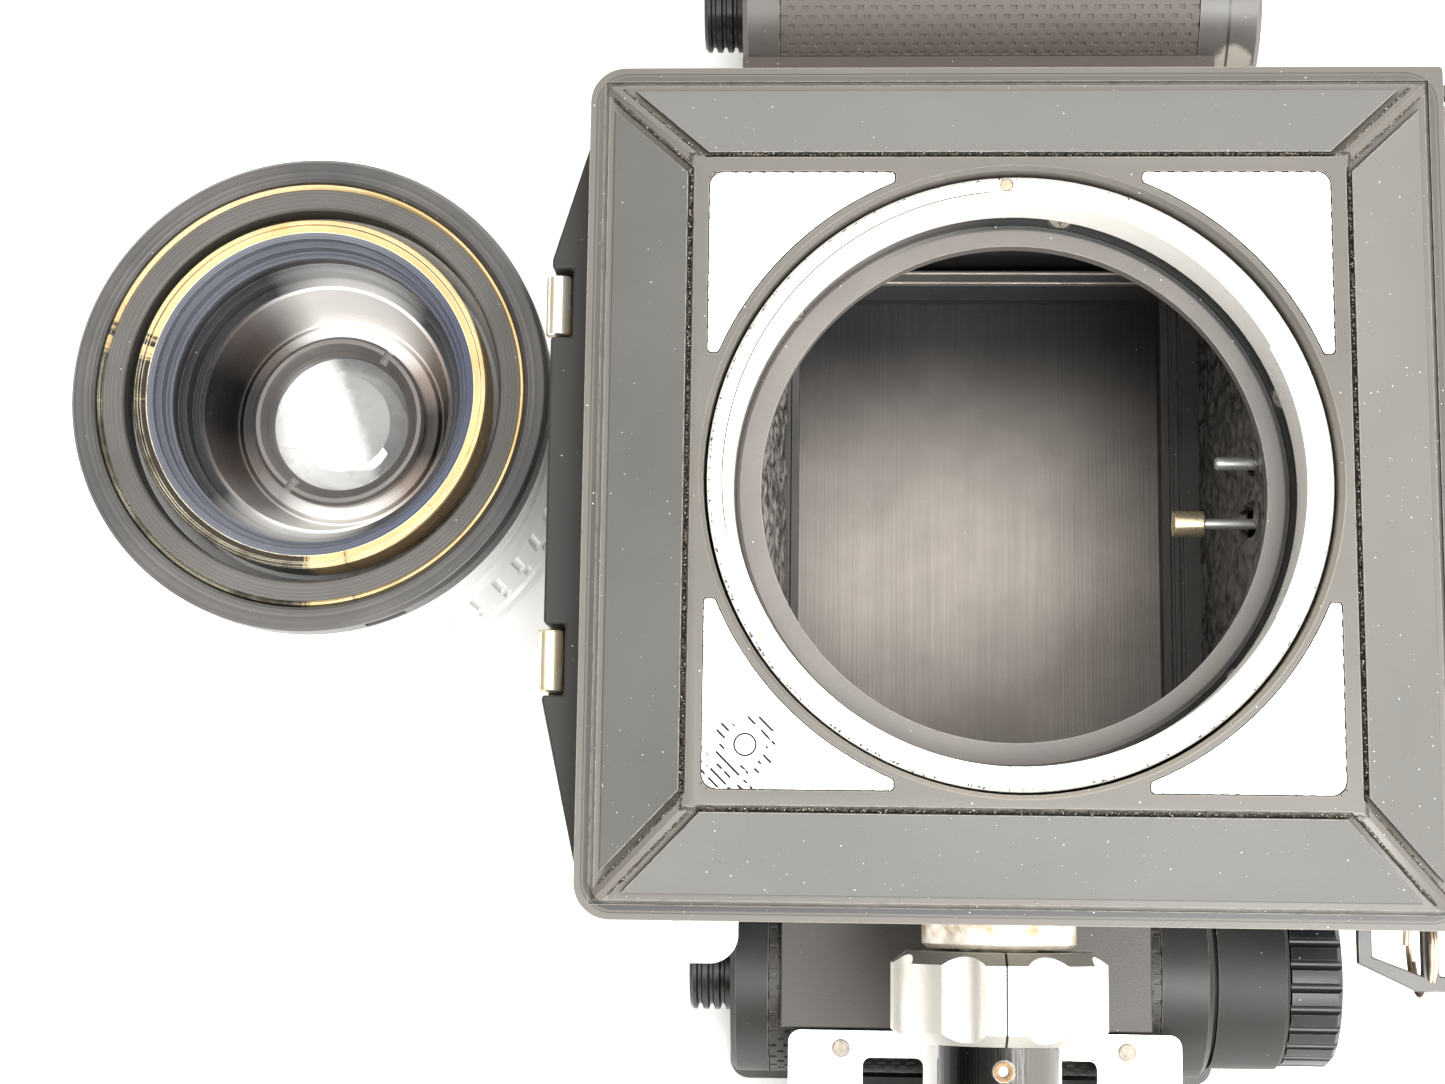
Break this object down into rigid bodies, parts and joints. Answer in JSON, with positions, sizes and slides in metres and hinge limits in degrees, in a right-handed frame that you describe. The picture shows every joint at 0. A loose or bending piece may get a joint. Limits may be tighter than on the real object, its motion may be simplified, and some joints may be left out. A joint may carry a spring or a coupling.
{
  "type": "medium-format rangefinder press camera",
  "caption": "Boxy roll-film press camera lying on its back with its lens taken off and stood beside it, square sloped front, bright lock ring, side grip and finder.",
  "frame": {"origin": "on the throat's axis, on the surface that the camera's back lies on", "axes": "+Z out of the throat, +X towards the camera's top (finder), +Y towards the supply chamber"},
  "size_m": [0.2281, 0.2423, 0.1061],
  "materials": {
    "black_paint": "satin black enamel, worn at the edges",
    "grey_panel": "flat dark grey enamel",
    "satin_alloy": "bright satin alloy",
    "chrome": "bright chrome with brown wear",
    "dark_chrome": "dark plated",
    "black_metal": "matt black",
    "grey_metal": "dark grey anodised",
    "steel": "turned",
    "ring_steel": "bronzed steel",
    "slide_steel": "dark brushed",
    "brass": "worn brass",
    "anodised": "blue-grey anodised",
    "liner_leather": "wrinkled black",
    "leatherette": "dimpled black",
    "knob_plastic": "ribbed black",
    "grip_plastic": "moulded black",
    "spool_plastic": "moulded",
    "glass": "coated"
  },
  "bodies": {
    "camera": {"accessory_shoe": "chrome", "base_block": "black_paint", "base_feet": "chrome", "body_casting": "black_paint", "body_screws": "steel", "bracket_rivets": "steel", "chamber_liners": "liner_leather", "corner_plates": "satin_alloy", "coupling_pin": "chrome", "door_hinge": "steel", "eyepiece_bezel": "black_metal", "film_gate": "black_metal", "film_rollers": "steel", "finder_glasses": "glass", "finder_housing": "black_paint", "front_frame": "black_paint", "grip_collar": "chrome", "grip_handle": "grip_plastic", "grip_tube": "dark_chrome", "latch_bracket": "chrome", "leatherette": "leatherette", "magazine_frame": "black_paint", "strap_lugs": "black_metal", "supply_drum": "black_paint", "takeup_cover": "grey_panel", "takeup_drum": "black_paint", "throat_ring": "black_metal", "trim_panels": "grey_panel", "tripod_socket": "steel", "wind_hub": "black_paint"},
    "lock_ring": {"lock_ring": "chrome"},
    "coupling_arm": {"coupling_arm": "chrome"},
    "coupling_roller": {"coupling_roller": "brass"},
    "grip_nut": {"grip_nut": "chrome"},
    "trigger": {"trigger": "chrome"},
    "strap_ring_lower": {"strap_ring_lower": "ring_steel"},
    "strap_ring_upper": {"strap_ring_upper": "ring_steel"},
    "back_lock_lever": {"back_lock_lever": "chrome"},
    "dark_slide": {"dark_slide": "slide_steel"},
    "rear_door": {"rear_door": "black_paint", "pressure_plate": "black_metal"},
    "door_catch": {"door_catch": "chrome"},
    "wind_knob": {"wind_knob": "knob_plastic"},
    "takeup_spool": {"takeup_spool": "spool_plastic"},
    "supply_spool": {"supply_spool": "spool_plastic"},
    "takeup_knob": {"takeup_knob": "knob_plastic"},
    "supply_knob": {"supply_knob": "knob_plastic"},
    "lens": {"lens_barrel": "satin_alloy", "lens_flange": "black_metal", "lens_brass_rings": "brass", "lens_grey_ring": "grey_metal", "lens_rear_tube": "anodised", "lens_cone": "black_metal", "lens_retainer": "grey_metal", "rear_element": "glass", "lens_front_ring": "black_metal", "front_element": "glass"},
    "focus_ring": {"focus_ring": "satin_alloy"},
    "aperture_ring": {"aperture_ring": "black_metal"},
    "cocking_lever": {"cocking_lever": "chrome"}
  },
  "joints": [
    {"name": "lock_ring_turn", "type": "hinge", "parent": "camera", "child": "lock_ring", "pos_m": [0, 0, 0.1], "axis": [0, 0, 1], "range_deg": [0, 35]},
    {"name": "coupling_arm_swing", "type": "hinge", "parent": "camera", "child": "coupling_arm", "pos_m": [0.043, 0, 0.07], "axis": [0, 1, 0], "range_deg": [-8, 0], "stiffness_Nm_per_rad": 0.02, "springref_deg": 1.15},
    {"name": "coupling_roller_spin", "type": "hinge", "parent": "coupling_arm", "child": "coupling_roller", "pos_m": [0.026, 0, 0.07], "axis": [1, 0, 0], "continuous": true},
    {"name": "grip_nut_turn", "type": "hinge", "parent": "camera", "child": "grip_nut", "pos_m": [0, -0.064, 0.067], "axis": [0, 1, 0], "continuous": true},
    {"name": "trigger_press", "type": "slide", "parent": "camera", "child": "trigger", "axis": [0, 0, -1], "range_m": [0, 0.004], "stiffness_N_per_m": 400, "springref_m": -0.001},
    {"name": "strap_ring_lower_swing", "type": "hinge", "parent": "camera", "child": "strap_ring_lower", "pos_m": [0.056, -0.05675, 0.073], "axis": [0, 1, 0], "range_deg": [-15, 15]},
    {"name": "strap_ring_upper_swing", "type": "hinge", "parent": "camera", "child": "strap_ring_upper", "pos_m": [0.056, 0.05675, 0.073], "axis": [0, 1, 0], "range_deg": [-15, 15]},
    {"name": "back_lock_turn", "type": "hinge", "parent": "camera", "child": "back_lock_lever", "pos_m": [-0.045, -0.0534, 0.045], "axis": [0, 0, 1], "range_deg": [-60, 0]},
    {"name": "dark_slide_pull", "type": "slide", "parent": "camera", "child": "dark_slide", "axis": [1, 0, 0], "range_m": [0, 0.085]},
    {"name": "rear_door_open", "type": "hinge", "parent": "camera", "child": "rear_door", "pos_m": [0, 0.1131, 0.003], "axis": [1, 0, 0], "range_deg": [0, 95]},
    {"name": "door_catch_slide", "type": "slide", "parent": "rear_door", "child": "door_catch", "axis": [1, 0, 0], "range_m": [0, 0.005]},
    {"name": "wind_knob_turn", "type": "hinge", "parent": "camera", "child": "wind_knob", "pos_m": [0.05, -0.062, 0.019], "axis": [1, 0, 0], "continuous": true},
    {"name": "takeup_spool_turn", "type": "hinge", "parent": "camera", "child": "takeup_spool", "pos_m": [0, -0.062, 0.019], "axis": [1, 0, 0], "continuous": true},
    {"name": "supply_spool_turn", "type": "hinge", "parent": "camera", "child": "supply_spool", "pos_m": [0, 0.094, 0.019], "axis": [1, 0, 0], "continuous": true},
    {"name": "takeup_knob_pull", "type": "slide", "parent": "camera", "child": "takeup_knob", "axis": [-1, 0, 0], "range_m": [0, 0.006], "stiffness_N_per_m": 300, "springref_m": -0.001},
    {"name": "supply_knob_pull", "type": "slide", "parent": "camera", "child": "supply_knob", "axis": [-1, 0, 0], "range_m": [0, 0.006], "stiffness_N_per_m": 300, "springref_m": -0.001},
    {"name": "lens_lift", "type": "slide", "parent": "camera", "child": "lens", "axis": [0, 0, 1], "range_m": [0, 0.15]},
    {"name": "focus_ring_turn", "type": "hinge", "parent": "lens", "child": "focus_ring", "pos_m": [-0.0989, 0.0203, 0.028], "axis": [0, 0, 1], "range_deg": [0, 160]},
    {"name": "aperture_ring_turn", "type": "hinge", "parent": "lens", "child": "aperture_ring", "pos_m": [-0.0989, 0.0203, 0.01], "axis": [0, 0, 1], "range_deg": [0, 60]},
    {"name": "cocking_lever_swing", "type": "hinge", "parent": "lens", "child": "cocking_lever", "pos_m": [-0.0989, 0.0203, 0.016], "axis": [0, 0, 1], "range_deg": [0, 50]}
  ],
  "couplings": [
    {"joint": "takeup_spool_turn", "follows": "supply_spool_turn", "ratio": 1},
    {"joint": "wind_knob_turn", "follows": "supply_spool_turn", "ratio": 1}
  ]
}
